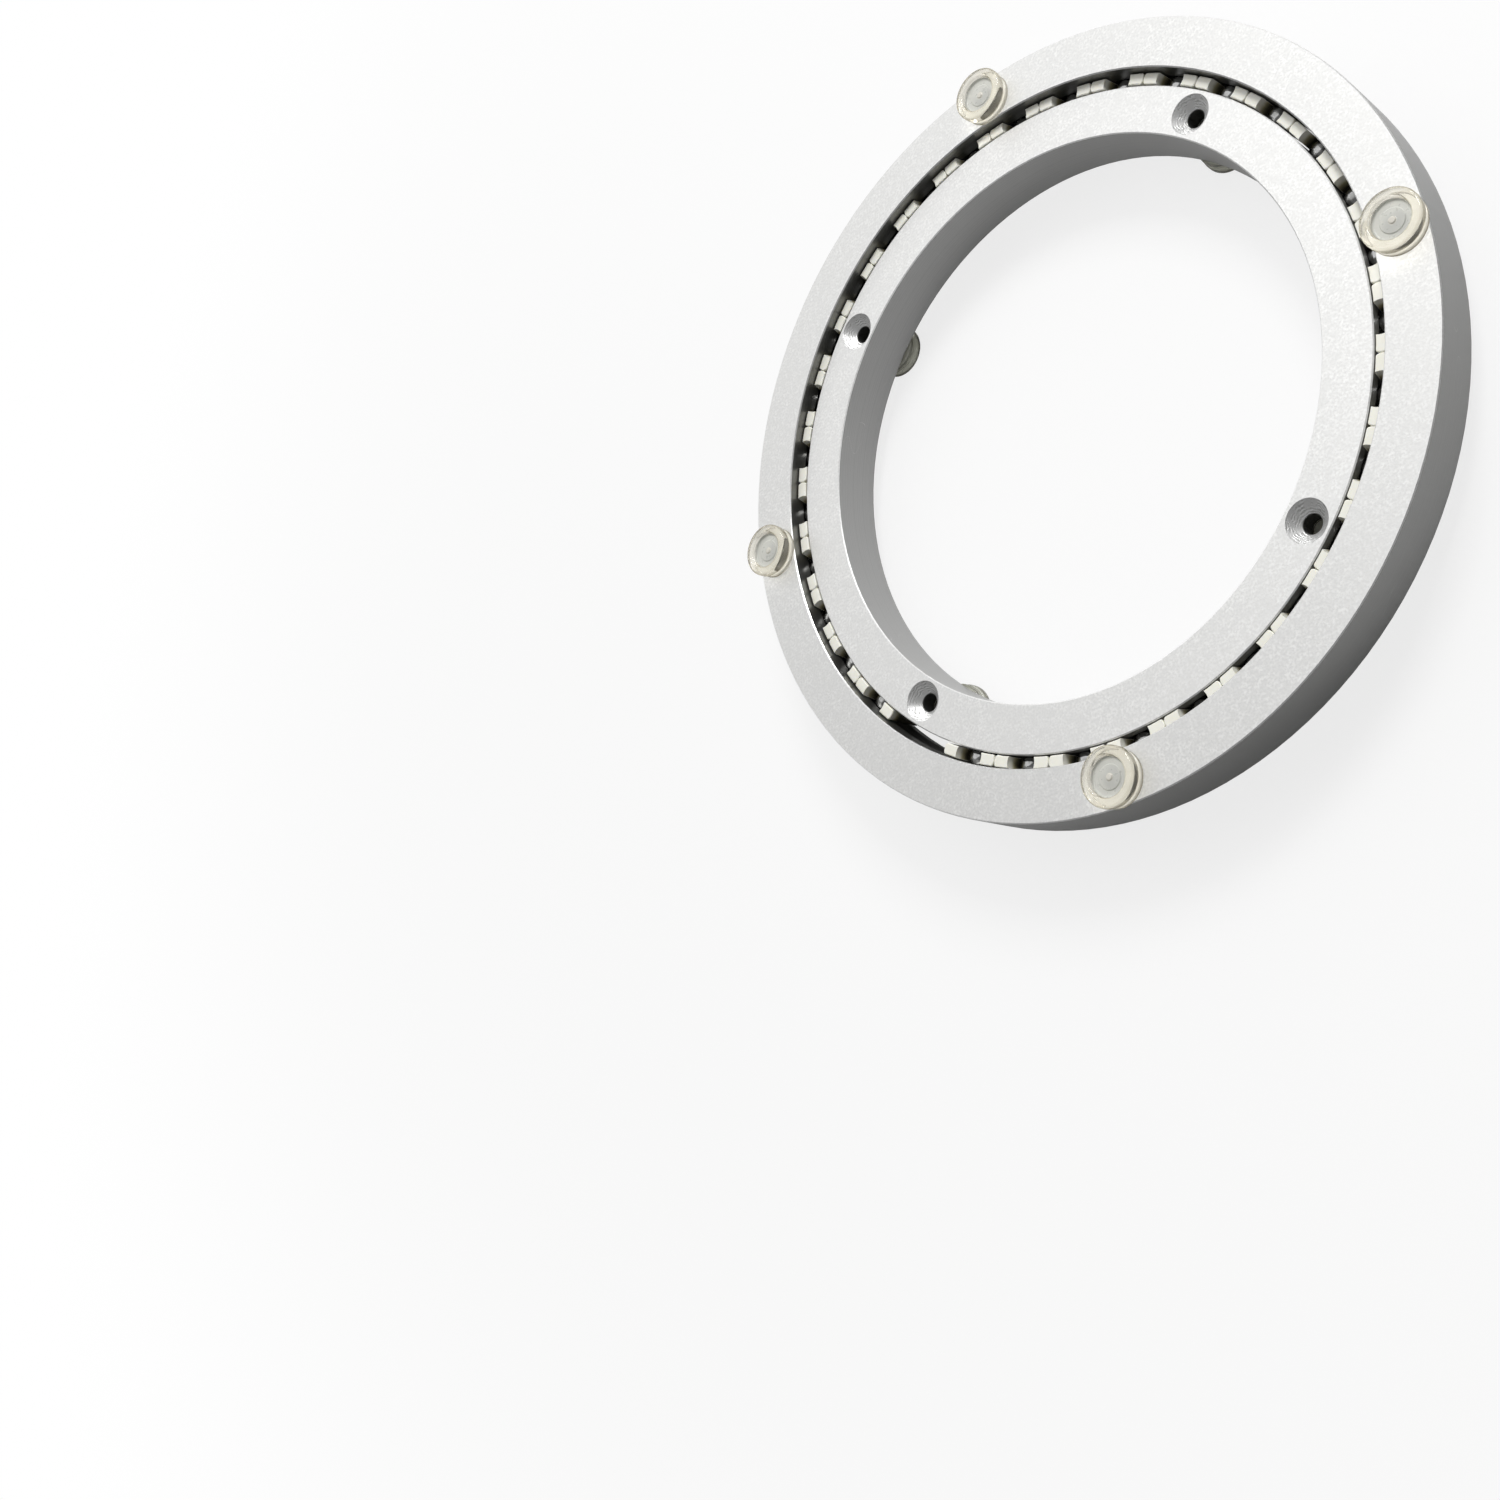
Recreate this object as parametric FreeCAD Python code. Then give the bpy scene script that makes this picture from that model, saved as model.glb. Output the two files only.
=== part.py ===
"""Turntable ring bearing: two flat rings, a chain of ball links between them and soft feet.

The bearing lies flat on the feet of its inner ring, as it does on a table. Its axis is Z and
the origin is on that axis, in the plane that the feet stand on. Sizes are in millimetres and
angles in degrees.
"""
import FreeCAD
import Part
import math
import os

# Rings
BORE_DIAMETER = 100.0
INNER_RING_WIDTH = 8.5
RACE_GAP = 2.5  # open width between the two rings
OUTER_RING_WIDTH = 9.0
RING_THICKNESS = 10.0
RING_OFFSET = 1.8  # the outer ring stands this much higher than the inner ring
EDGE_CHAMFER = 0.2
OUTER_RING_TURN = -1.9  # where the outer ring's first foot stands at rest

# Balls and the grooves that they run in
BALL_DIAMETER = 5.0
GROOVE_CLEARANCE = 0.08

# Chain of links, one ball in each, which leaves part of the race empty
LINK_LENGTH = 11.29  # from one ball to the next, along the ball circle
CHAIN_LEAST_GAP = 12.0  # the race takes as many links as leave it empty over this length
CHAIN_START_ANGLE = 233.5
LINK_RECESS = 0.3  # above the outer ring's underside; its top is level with the inner ring's
LINK_SIDE_CLEARANCE = 0.25
LINK_END_CLEARANCE = 0.06  # between the crowns of two links
LINK_END_CROWN = 0.26
LINK_CORNER_ROUND = 0.4  # of its upright corners
LINK_RIM_ROUND = 0.2  # along its top
LINK_EDGE_CHAMFER = 0.2  # along its underside
POCKET_CLEARANCE = 0.1
POCKET_LIP = 0.25  # how far the pocket's neck closes in over the ball
POCKET_FLARE = 0.55  # how much wider the pocket's mouth is than its neck

# Screw holes, countersunk on the side away from the ring's feet
HOLES_PER_RING = 4
SCREW_HOLE_DIAMETER = 3.2
COUNTERSINK_DIAMETER = 7.2
COUNTERSINK_DEPTH = 2.0
SCREW_SEAT_LENGTH = 2.95  # the narrow part of a hole, between its countersink and its socket
INNER_HOLE_ANGLE = 45.0

# Feet: a dished disc, a waist, a flange on the ring and a stem in the hole's wider end
FOOT_DISC_DIAMETER = 10.0
FOOT_DISC_THICKNESS = 1.7
FOOT_DISC_ROUND = 0.5
FOOT_RIM_WIDTH = 1.6  # of the disc, around its dish
FOOT_DISH_FLOOR = 0.6
FOOT_WAIST_INSET = 0.7  # from the disc's edge
FOOT_WAIST_HEIGHT = 0.7
FOOT_FLANGE_INSET = 0.2  # from the disc's edge
FOOT_FLANGE_THICKNESS = 0.8
FOOT_FLANGE_ROUND = 0.3
FOOT_NUB_DIAMETER = 1.2
FOOT_NUB_HEIGHT = 0.35
STEM_DIAMETER = 3.8
STEM_CLEARANCE = 0.05  # around the stem and beyond its tip

# Heights and radii that follow from the sizes above
BORE_RADIUS = BORE_DIAMETER / 2
INNER_RACE_RADIUS = BORE_RADIUS + INNER_RING_WIDTH
OUTER_RACE_RADIUS = INNER_RACE_RADIUS + RACE_GAP
OUTER_RADIUS = OUTER_RACE_RADIUS + OUTER_RING_WIDTH
BALL_CIRCLE_RADIUS = (INNER_RACE_RADIUS + OUTER_RACE_RADIUS) / 2
BALL_RADIUS = BALL_DIAMETER / 2
GROOVE_RADIUS = BALL_RADIUS + GROOVE_CLEARANCE
FOOT_HEIGHT = FOOT_FLANGE_THICKNESS + FOOT_WAIST_HEIGHT + FOOT_DISC_THICKNESS
INNER_BOTTOM = FOOT_HEIGHT
INNER_TOP = INNER_BOTTOM + RING_THICKNESS
OUTER_BOTTOM = INNER_BOTTOM + RING_OFFSET
OUTER_TOP = OUTER_BOTTOM + RING_THICKNESS
BALL_HEIGHT = (INNER_BOTTOM + OUTER_TOP) / 2
INNER_HOLE_RADIUS = (BORE_RADIUS + INNER_RACE_RADIUS) / 2
OUTER_HOLE_RADIUS = (OUTER_RACE_RADIUS + OUTER_RADIUS) / 2
LINK_PITCH = math.degrees(LINK_LENGTH / BALL_CIRCLE_RADIUS)
LINK_COUNT = int((2 * math.pi * BALL_CIRCLE_RADIUS - CHAIN_LEAST_GAP) / LINK_LENGTH)
LINK_BOTTOM = OUTER_BOTTOM + LINK_RECESS
LINK_TOP = INNER_TOP
SOCKET_RADIUS = STEM_DIAMETER / 2 + STEM_CLEARANCE
SOCKET_DEPTH = RING_THICKNESS - COUNTERSINK_DEPTH - SCREW_SEAT_LENGTH
STEM_LENGTH = SOCKET_DEPTH - STEM_CLEARANCE

ORIGIN = FreeCAD.Vector(0, 0, 0)
UP = FreeCAD.Vector(0, 0, 1)
ACROSS = FreeCAD.Vector(1, 0, 0)


def section_point(radius, height):
    """A point of a section drawn in the XZ plane."""
    return FreeCAD.Vector(radius, 0, height)


def plan_point(radius, angle, height):
    """A point at a radius and an angle around the axis."""
    turn = math.radians(angle)
    return FreeCAD.Vector(radius * math.cos(turn), radius * math.sin(turn), height)


def lines_through(points):
    """Straight edges that join a row of points."""
    return [Part.makeLine(first, second) for first, second in zip(points, points[1:])]


def arc_through(start, middle, end):
    """An arc edge through three points."""
    return Part.Arc(start, middle, end).toShape()


def face_from(edges):
    """A flat face inside a closed row of edges."""
    return Part.Face(Part.Wire(Part.__sortEdges__(edges)))


def revolved(edges):
    """The solid of revolution of a closed section about Z."""
    return face_from(edges).revolve(ORIGIN, UP, 360)


def turned(shape, angle):
    """A copy of a shape turned about the bearing's axis."""
    copy = shape.copy()
    copy.rotate(ORIGIN, UP, angle)
    return copy


def ring_body(wall_radius, race_radius, bottom):
    """One ring: a chamfered rectangle with a round groove in its race side, turned about Z."""
    top = bottom + RING_THICKNESS
    outward = 1 if wall_radius > race_radius else -1
    cut = EDGE_CHAMFER * outward
    offset = BALL_CIRCLE_RADIUS - race_radius
    half_mouth = math.sqrt(GROOVE_RADIUS**2 - offset**2)
    groove_low = section_point(race_radius, BALL_HEIGHT - half_mouth)
    groove_high = section_point(race_radius, BALL_HEIGHT + half_mouth)
    groove_floor = section_point(BALL_CIRCLE_RADIUS + outward * GROOVE_RADIUS, BALL_HEIGHT)
    outline = [
        groove_high,
        section_point(race_radius, top - EDGE_CHAMFER),
        section_point(race_radius + cut, top),
        section_point(wall_radius - cut, top),
        section_point(wall_radius, top - EDGE_CHAMFER),
        section_point(wall_radius, bottom + EDGE_CHAMFER),
        section_point(wall_radius - cut, bottom),
        section_point(race_radius + cut, bottom),
        section_point(race_radius, bottom + EDGE_CHAMFER),
        groove_low,
    ]
    groove = arc_through(groove_low, groove_floor, groove_high)
    return revolved(lines_through(outline) + [groove])


def hole_tool(foot_face, screw_face, radius, angle):
    """What a screw hole removes: a countersink, a screw hole and a wider socket for a foot's stem."""
    inward = 1 if screw_face > foot_face else -1
    inward_dir = UP * inward
    socket_base = plan_point(radius, angle, foot_face)
    sink_tip = plan_point(radius, angle, screw_face - inward * COUNTERSINK_DEPTH)
    socket = Part.makeCylinder(SOCKET_RADIUS, SOCKET_DEPTH, socket_base, inward_dir)
    shank = Part.makeCylinder(SCREW_HOLE_DIAMETER / 2, RING_THICKNESS, socket_base, inward_dir)
    sink = Part.makeCone(
        SCREW_HOLE_DIAMETER / 2, COUNTERSINK_DIAMETER / 2, COUNTERSINK_DEPTH, sink_tip, inward_dir
    )
    return shank.fuse([socket, sink])


def ring_with_holes(body, foot_face, screw_face, radius, first_angle):
    """A ring with its screw holes spaced evenly around it."""
    step = 360.0 / HOLES_PER_RING
    tools = [
        hole_tool(foot_face, screw_face, radius, first_angle + step * index)
        for index in range(HOLES_PER_RING)
    ]
    return body.cut(tools)


def inner_ring():
    """The ring that stands still: feet below, screw heads above."""
    body = ring_body(BORE_RADIUS, INNER_RACE_RADIUS, INNER_BOTTOM)
    return ring_with_holes(body, INNER_BOTTOM, INNER_TOP, INNER_HOLE_RADIUS, INNER_HOLE_ANGLE)


def outer_ring():
    """The ring that turns: feet above, screw heads below."""
    body = ring_body(OUTER_RADIUS, OUTER_RACE_RADIUS, OUTER_BOTTOM)
    return ring_with_holes(body, OUTER_TOP, OUTER_BOTTOM, OUTER_HOLE_RADIUS, OUTER_RING_TURN)


def foot_blank():
    """One soft foot, standing on a ring face at height zero with its stem pointing down."""
    disc = FOOT_DISC_DIAMETER / 2
    flange = disc - FOOT_FLANGE_INSET
    waist = disc - FOOT_WAIST_INSET
    dish = disc - FOOT_RIM_WIDTH
    nub = FOOT_NUB_DIAMETER / 2
    stem = STEM_DIAMETER / 2
    under_disc = FOOT_HEIGHT - FOOT_DISC_THICKNESS
    dish_floor = under_disc + FOOT_DISH_FLOOR
    corner = math.sqrt(0.5)
    flange_edge = section_point(flange, FOOT_FLANGE_THICKNESS - FOOT_FLANGE_ROUND)
    flange_top = section_point(flange - FOOT_FLANGE_ROUND, FOOT_FLANGE_THICKNESS)
    flange_mid = section_point(
        flange - FOOT_FLANGE_ROUND * (1 - corner),
        FOOT_FLANGE_THICKNESS - FOOT_FLANGE_ROUND * (1 - corner),
    )
    disc_edge = section_point(disc, FOOT_HEIGHT - FOOT_DISC_ROUND)
    disc_top = section_point(disc - FOOT_DISC_ROUND, FOOT_HEIGHT)
    disc_mid = section_point(
        disc - FOOT_DISC_ROUND * (1 - corner), FOOT_HEIGHT - FOOT_DISC_ROUND * (1 - corner)
    )
    stem_tip = section_point(0, -STEM_LENGTH)
    stem_side = section_point(stem, stem - STEM_LENGTH)
    stem_mid = section_point(stem * corner, stem * (1 - corner) - STEM_LENGTH)
    below = lines_through([stem_side, section_point(stem, 0), section_point(flange, 0), flange_edge])
    waist_side = lines_through(
        [
            flange_top,
            section_point(waist, FOOT_FLANGE_THICKNESS),
            section_point(waist, under_disc),
            section_point(disc, under_disc),
            disc_edge,
        ]
    )
    above = lines_through(
        [
            disc_top,
            section_point(dish, FOOT_HEIGHT),
            section_point(dish, dish_floor),
            section_point(nub, dish_floor),
            section_point(nub, dish_floor + FOOT_NUB_HEIGHT),
            section_point(0, dish_floor + FOOT_NUB_HEIGHT),
            stem_tip,
        ]
    )
    rounds = [
        arc_through(stem_tip, stem_mid, stem_side),
        arc_through(flange_edge, flange_mid, flange_top),
        arc_through(disc_edge, disc_mid, disc_top),
    ]
    return revolved(below + waist_side + above + rounds)


def top_foot(index):
    """A foot on the outer ring, facing up to carry a board or a glass plate."""
    foot = foot_blank()
    angle = OUTER_RING_TURN + 360.0 / HOLES_PER_RING * index
    foot.translate(plan_point(OUTER_HOLE_RADIUS, angle, OUTER_TOP))
    return foot


def base_foot(index):
    """A foot under the inner ring, facing down to stand on the table."""
    foot = foot_blank()
    foot.rotate(ORIGIN, ACROSS, 180)
    angle = INNER_HOLE_ANGLE + 360.0 / HOLES_PER_RING * index
    foot.translate(plan_point(INNER_HOLE_RADIUS, angle, INNER_BOTTOM))
    return foot


def edges_at(shape, height):
    """The edges of a shape that lie level at one height."""
    return [
        edge
        for edge in shape.Edges
        if abs(edge.BoundBox.ZMax - height) < 0.01 and abs(edge.BoundBox.ZMin - height) < 0.01
    ]


def link_blank():
    """A curved block as long as one link, with crowned ends so that neighbours rock on each other."""
    inside = INNER_RACE_RADIUS + LINK_SIDE_CLEARANCE
    outside = OUTER_RACE_RADIUS - LINK_SIDE_CLEARANCE
    reach = LINK_PITCH / 2 - math.degrees(LINK_END_CLEARANCE / 2 / BALL_CIRCLE_RADIUS)
    corner = reach - math.degrees(LINK_END_CROWN / BALL_CIRCLE_RADIUS)
    first_in = plan_point(inside, -corner, LINK_BOTTOM)
    first_out = plan_point(outside, -corner, LINK_BOTTOM)
    last_in = plan_point(inside, corner, LINK_BOTTOM)
    last_out = plan_point(outside, corner, LINK_BOTTOM)
    plan = face_from(
        [
            arc_through(first_out, plan_point(outside, 0, LINK_BOTTOM), last_out),
            arc_through(last_out, plan_point(BALL_CIRCLE_RADIUS, reach, LINK_BOTTOM), last_in),
            arc_through(last_in, plan_point(inside, 0, LINK_BOTTOM), first_in),
            arc_through(first_in, plan_point(BALL_CIRCLE_RADIUS, -reach, LINK_BOTTOM), first_out),
        ]
    )
    blank = plan.extrude(UP * (LINK_TOP - LINK_BOTTOM))
    upright = [edge for edge in blank.Edges if edge.BoundBox.ZLength > LINK_EDGE_CHAMFER]
    blank = blank.makeFillet(LINK_CORNER_ROUND, upright)
    blank = blank.makeFillet(LINK_RIM_ROUND, edges_at(blank, LINK_TOP))
    return blank.makeChamfer(LINK_EDGE_CHAMFER, edges_at(blank, LINK_BOTTOM))


def pocket_tool():
    """What a ball's pocket removes: a sphere that snaps over the ball, with a flared mouth above it."""
    sphere = BALL_RADIUS + POCKET_CLEARANCE
    neck = BALL_RADIUS - POCKET_LIP
    neck_point = section_point(neck, BALL_HEIGHT + math.sqrt(sphere**2 - neck**2))
    lowest = section_point(0, BALL_HEIGHT - sphere)
    mouth = [
        neck_point,
        section_point(neck + POCKET_FLARE, LINK_TOP),
        section_point(0, LINK_TOP),
        lowest,
    ]
    round_side = arc_through(lowest, section_point(sphere, BALL_HEIGHT), neck_point)
    tool = revolved(lines_through(mouth) + [round_side])
    tool.translate(FreeCAD.Vector(BALL_CIRCLE_RADIUS, 0, 0))
    return tool


def cage_link():
    """One link of the chain, around a ball that sits on the X axis."""
    return link_blank().cut(pocket_tool())


def ball():
    """One ball, on the X axis."""
    return Part.makeSphere(BALL_RADIUS, plan_point(BALL_CIRCLE_RADIUS, 0, BALL_HEIGHT))


def link_angle(index):
    """Where a link and its ball stand around the race."""
    return CHAIN_START_ANGLE + LINK_PITCH * (index + 0.5)


def pieces():
    """Every piece of the bearing under its own name."""
    named = {"inner_ring": inner_ring(), "outer_ring": outer_ring()}
    for index in range(HOLES_PER_RING):
        named["base_foot_%d" % (index + 1)] = base_foot(index)
        named["top_foot_%d" % (index + 1)] = top_foot(index)
    link = cage_link()
    sphere = ball()
    for index in range(LINK_COUNT):
        named["cage_link_%02d" % (index + 1)] = turned(link, link_angle(index))
    balls = [turned(sphere, link_angle(index)) for index in range(LINK_COUNT)]
    named["bearing_balls"] = Part.makeCompound(balls)
    return named


def main():
    """Write each piece to its own file."""
    os.makedirs("parts", exist_ok=True)
    for name, shape in pieces().items():
        shape.exportStep(os.path.join("parts", name + ".step"))


main()
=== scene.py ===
"""Looks of the turntable ring bearing: finishes, soft feet, studio and camera.

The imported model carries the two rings, the chain of ball links and the balls, and they get
their finishes here. The eight soft feet are turned again with finer sections and stand for the
packed ones. The scene is in metres, in the model's own frame. The bearing's sizes are written
in millimetres and become metres by MM.
"""

from __future__ import annotations

import logging
import math
from dataclasses import dataclass
from enum import Enum
from typing import NamedTuple

import bmesh
import bpy
from mathutils import Matrix, Vector

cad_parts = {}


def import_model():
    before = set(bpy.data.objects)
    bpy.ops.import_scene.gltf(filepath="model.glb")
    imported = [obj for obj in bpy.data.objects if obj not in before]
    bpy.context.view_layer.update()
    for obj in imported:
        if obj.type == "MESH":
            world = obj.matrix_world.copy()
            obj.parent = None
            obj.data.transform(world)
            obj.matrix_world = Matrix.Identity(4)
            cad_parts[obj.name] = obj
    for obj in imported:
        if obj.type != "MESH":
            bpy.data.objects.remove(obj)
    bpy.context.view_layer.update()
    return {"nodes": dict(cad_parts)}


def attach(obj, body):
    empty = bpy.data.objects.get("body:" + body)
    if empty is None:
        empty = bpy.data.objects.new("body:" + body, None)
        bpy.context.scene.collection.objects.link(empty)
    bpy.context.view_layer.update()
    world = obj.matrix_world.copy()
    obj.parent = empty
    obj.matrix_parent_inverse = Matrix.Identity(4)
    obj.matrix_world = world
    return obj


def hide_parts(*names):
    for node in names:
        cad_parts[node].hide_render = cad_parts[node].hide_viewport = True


MM = 0.001
SAME_PLACE = 0.001 * MM
ROUND_STEPS = 4
LOG = logging.getLogger("ring_bearing")

Colour = tuple[float, float, float]
Tones = tuple[float, float]
Socket = bpy.types.NodeSocket


class Body(Enum):
    """The bodies that the pieces ride on."""

    BASE = "base"
    TURNTABLE = "turntable"
    BALL_CHAIN = "ball_chain"


class Facing(Enum):
    """Which way a ring's feet point."""

    UP = 1
    DOWN = -1


class Span(NamedTuple):
    """A stretch of some input, and the results at its low and its high end."""

    low: float
    high: float
    start: float = 0.0
    end: float = 1.0

    def moved(self, distance: float) -> Span:
        """The same stretch, further along the input."""
        return self._replace(low=self.low + distance, high=self.high + distance)


class Grain(NamedTuple):
    """A noise: its grains in a millimetre, how much finer noise they have, and their stretch."""

    per_mm: float
    detail: float = 2.0
    stretch: tuple[float, float, float] = (1.0, 1.0, 1.0)


class Corner(NamedTuple):
    """A corner of a turned section, with the width of its round, all in millimetres."""

    radius: float
    height: float
    rounding: float = 0.0


@dataclass(frozen=True)
class HoleCircle:
    """Screw holes spaced evenly on a circle about Z. A ring's feet stand in them."""

    radius: float
    first_angle: float
    count: int = 4

    def place(self, index: int, height: float) -> Vector:
        """Find one hole's middle.

        Args:
            index: The hole's number, from 0.
            height: The height at which it is wanted, in millimetres.

        Returns:
            The middle, in millimetres.
        """
        angle = math.radians(self.first_angle + 360 / self.count * index)
        return Vector((math.cos(angle) * self.radius, math.sin(angle) * self.radius, height))


def tone(colour: Colour, share: float) -> Colour:
    """A lighter or darker tone of a colour."""
    return tuple(min(part * share, 1.0) for part in colour)


class Graph:
    """A node tree, with short ways to add the nodes that the finishes and the sky use."""

    def __init__(self, owner: bpy.types.Material | bpy.types.World, output: str) -> None:
        """Empty the tree of a material or a world, and give it an output.

        Args:
            owner: The material or the world.
            output: The output node's type.
        """
        owner.use_nodes = True
        self.tree = owner.node_tree
        self.tree.nodes.clear()
        self.output = self.node(output)

    def node(self, kind: str, **settings: object) -> bpy.types.Node:
        """Add a node.

        Args:
            kind: The node's type.
            **settings: Properties to set on it.

        Returns:
            The new node.
        """
        node = self.tree.nodes.new(kind)
        for key, value in settings.items():
            setattr(node, key, value)
        return node

    def feed(self, value: object, socket: Socket) -> None:
        """Link an output to a socket, or write a plain value on it.

        Args:
            value: The output or the value.
            socket: The socket that takes it.
        """
        if isinstance(value, Socket):
            self.tree.links.new(value, socket)
        else:
            socket.default_value = value

    def math(self, operation: str, *values: object) -> Socket:
        """Add a Math node.

        Args:
            operation: The node's operation.
            *values: Its inputs, sockets or numbers.

        Returns:
            Its result.
        """
        node = self.node("ShaderNodeMath", operation=operation)
        for value, socket in zip(values, node.inputs):
            self.feed(value, socket)
        return node.outputs[0]

    def band(self, value: Socket, span: Span) -> Socket:
        """Map a value smoothly from one stretch to another.

        Args:
            value: What is mapped.
            span: The stretch of the value, and the results at its ends.

        Returns:
            The mapped value, held at the span's start and end outside it.
        """
        node = self.node("ShaderNodeMapRange", interpolation_type="SMOOTHSTEP")
        for given, socket in zip((value, *span), node.inputs):
            self.feed(given, socket)
        return node.outputs[0]

    def grain(self, place: Socket, grain: Grain) -> Socket:
        """Add a noise over the piece.

        Args:
            place: Coordinates in millimetres.
            grain: How the noise is.

        Returns:
            The noise, about 0 to 1.
        """
        mapping = self.node("ShaderNodeMapping")
        self.feed(place, mapping.inputs["Vector"])
        self.feed(grain.stretch, mapping.inputs["Scale"])
        noise = self.node("ShaderNodeTexNoise")
        self.feed(mapping.outputs[0], noise.inputs["Vector"])
        self.feed(grain.per_mm, noise.inputs["Scale"])
        self.feed(grain.detail, noise.inputs["Detail"])
        return noise.outputs["Fac"]

    def patches(self, place: Socket, grain: Grain, span: Span) -> Socket:
        """A noise over the piece, mapped smoothly from one stretch to another."""
        return self.band(self.grain(place, grain), span)

    def blend(self, share: object, first: object, second: object) -> Socket:
        """Mix two colours. A Mix node's colours are its inputs 6 and 7 and its output 2.

        Args:
            share: How much of the second colour shows.
            first: A colour or a colour output.
            second: A colour or a colour output.

        Returns:
            The mixed colour.
        """
        node = self.node("ShaderNodeMix", data_type="RGBA")
        self.feed(share, node.inputs[0])
        for value, socket in ((first, node.inputs[6]), (second, node.inputs[7])):
            self.feed((*value, 1.0) if isinstance(value, tuple) else value, socket)
        return node.outputs[2]

    def toned(self, share: Socket, colour: Colour, tones: Tones) -> Socket:
        """A colour between a darker and a lighter tone of it."""
        return self.blend(share, *(tone(colour, part) for part in tones))

    def pick(self, share: object, first: object, second: object) -> Socket:
        """Mix two numbers. A Mix node's numbers are its inputs 2 and 3 and its output 0.

        Args:
            share: How much of the second number counts.
            first: A number or an output.
            second: A number or an output.

        Returns:
            The mixed number.
        """
        node = self.node("ShaderNodeMix", data_type="FLOAT")
        for number, value in ((0, share), (2, first), (3, second)):
            self.feed(value, node.inputs[number])
        return node.outputs[0]

    def parts_of(self, vector: Socket) -> list[Socket]:
        """Split a vector.

        Args:
            vector: The vector.

        Returns:
            Its X, Y and Z.
        """
        split = self.node("ShaderNodeSeparateXYZ")
        self.feed(vector, split.inputs[0])
        return list(split.outputs)

    def joined(self, *parts: Socket) -> Socket:
        """Join numbers to a vector.

        Args:
            *parts: X, Y and Z, or the first of them. The others stay at zero.

        Returns:
            The vector.
        """
        node = self.node("ShaderNodeCombineXYZ")
        for part, socket in zip(parts, node.inputs):
            self.feed(part, socket)
        return node.outputs[0]

    def length(self, first: Socket, second: Socket) -> Socket:
        """Length of a flat vector given by its two parts."""
        squares = [self.math("MULTIPLY", part, part) for part in (first, second)]
        return self.math("SQRT", self.math("ADD", *squares))

    def away_from(self, value: Socket, middle: float) -> Socket:
        """How far a value is from another, either way."""
        return self.math("ABSOLUTE", self.math("SUBTRACT", value, middle))

    def from_nearest(self, across: Socket, along: Socket, holes: HoleCircle) -> Socket:
        """Distance in plan from the middle of the nearest hole.

        The angle is folded into one hole's share of the circle, so that one hole stands for all.

        Args:
            across: X in millimetres.
            along: Y in millimetres.
            holes: The circle of holes.

        Returns:
            The distance in millimetres.
        """
        step = 2 * math.pi / holes.count
        fold = math.radians(holes.first_angle) - step / 2 - 2 * math.pi
        radius = self.length(across, along)
        shifted = self.math("SUBTRACT", self.math("ARCTAN2", along, across), fold)
        folded = self.math("SUBTRACT", self.math("FLOORED_MODULO", shifted, step), step / 2)
        outwards = self.math("MULTIPLY", radius, self.math("COSINE", folded))
        sideways = self.math("MULTIPLY", radius, self.math("SINE", folded))
        return self.length(self.math("SUBTRACT", outwards, holes.radius), sideways)

    def mixed_shaders(self, share: Socket, first: Socket, second: Socket) -> Socket:
        """Mix two shaders.

        Args:
            share: How much of the second shader shows.
            first: A shader output.
            second: A shader output.

        Returns:
            The mixed shader.
        """
        node = self.node("ShaderNodeMixShader")
        for value, socket in zip((share, first, second), node.inputs):
            self.feed(value, socket)
        return node.outputs[0]

    def seen_straight(self) -> Socket:
        """1 where the camera looks straight or through clear plastic, and 0 elsewhere."""
        path = self.node("ShaderNodeLightPath").outputs
        return self.math("MAXIMUM", path["Is Camera Ray"], path["Is Transmission Ray"])

    def show(self, shader: Socket) -> None:
        """Join a shader to the output."""
        self.feed(shader, self.output.inputs["Surface"])


class MaterialGraph(Graph):
    """A material's node tree."""

    def __init__(self, name: str) -> None:
        """Start a material with an empty tree.

        Args:
            name: The material's name.
        """
        self.material = bpy.data.materials.new(name)
        super().__init__(self.material, "ShaderNodeOutputMaterial")

    def place_in_mm(self) -> Socket:
        """Find the point on the piece in its own frame.

        Returns:
            The point, in millimetres.
        """
        source = self.node("ShaderNodeTexCoord")
        scaled = self.node("ShaderNodeVectorMath", operation="SCALE")
        self.feed(source.outputs["Object"], scaled.inputs[0])
        self.feed(1 / MM, scaled.inputs["Scale"])
        return scaled.outputs[0]

    def bump(self, height: Socket, depth: float, strength: float) -> Socket:
        """Add a bump.

        Args:
            height: The height output, 0 to 1.
            depth: How deep the relief is, in millimetres.
            strength: How strongly it shows.

        Returns:
            The bumped normal.
        """
        node = self.node("ShaderNodeBump")
        self.feed(strength, node.inputs["Strength"])
        self.feed(depth * MM, node.inputs["Distance"])
        self.feed(height, node.inputs["Height"])
        return node.outputs[0]

    def surface(self, **sockets: object) -> Socket:
        """Add the surface shader.

        Args:
            **sockets: Values or outputs for its sockets, with underscores for spaces.

        Returns:
            The shader.
        """
        shader = self.node("ShaderNodeBsdfPrincipled")
        for key, value in sockets.items():
            self.feed(value, shader.inputs[key.replace("_", " ")])
        return shader.outputs[0]

    def finish(self, **sockets: object) -> bpy.types.Material:
        """Add the surface shader and end the material with it.

        Args:
            **sockets: Values or outputs for its sockets, with underscores for spaces.

        Returns:
            The finished material.
        """
        self.show(self.surface(**sockets))
        return self.material


@dataclass(frozen=True)
class RingZones:
    """Which kind of surface a point of a ring has, each as a share from 0 to 1."""

    flat: Socket
    upright: Socket
    cut: Socket
    # Painted shadow: a thin dark line on the walls just below the edge cut.
    shadow_line: Socket
    race_side: Socket
    in_hole: Socket
    in_shank: Socket


@dataclass(frozen=True)
class RingMarks:
    """What blasting, turning, countersinking and use leave on a ring, each about 0 to 1."""

    blasted: Socket
    turned: Socket
    sunk: Socket
    scratched: Socket


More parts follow.
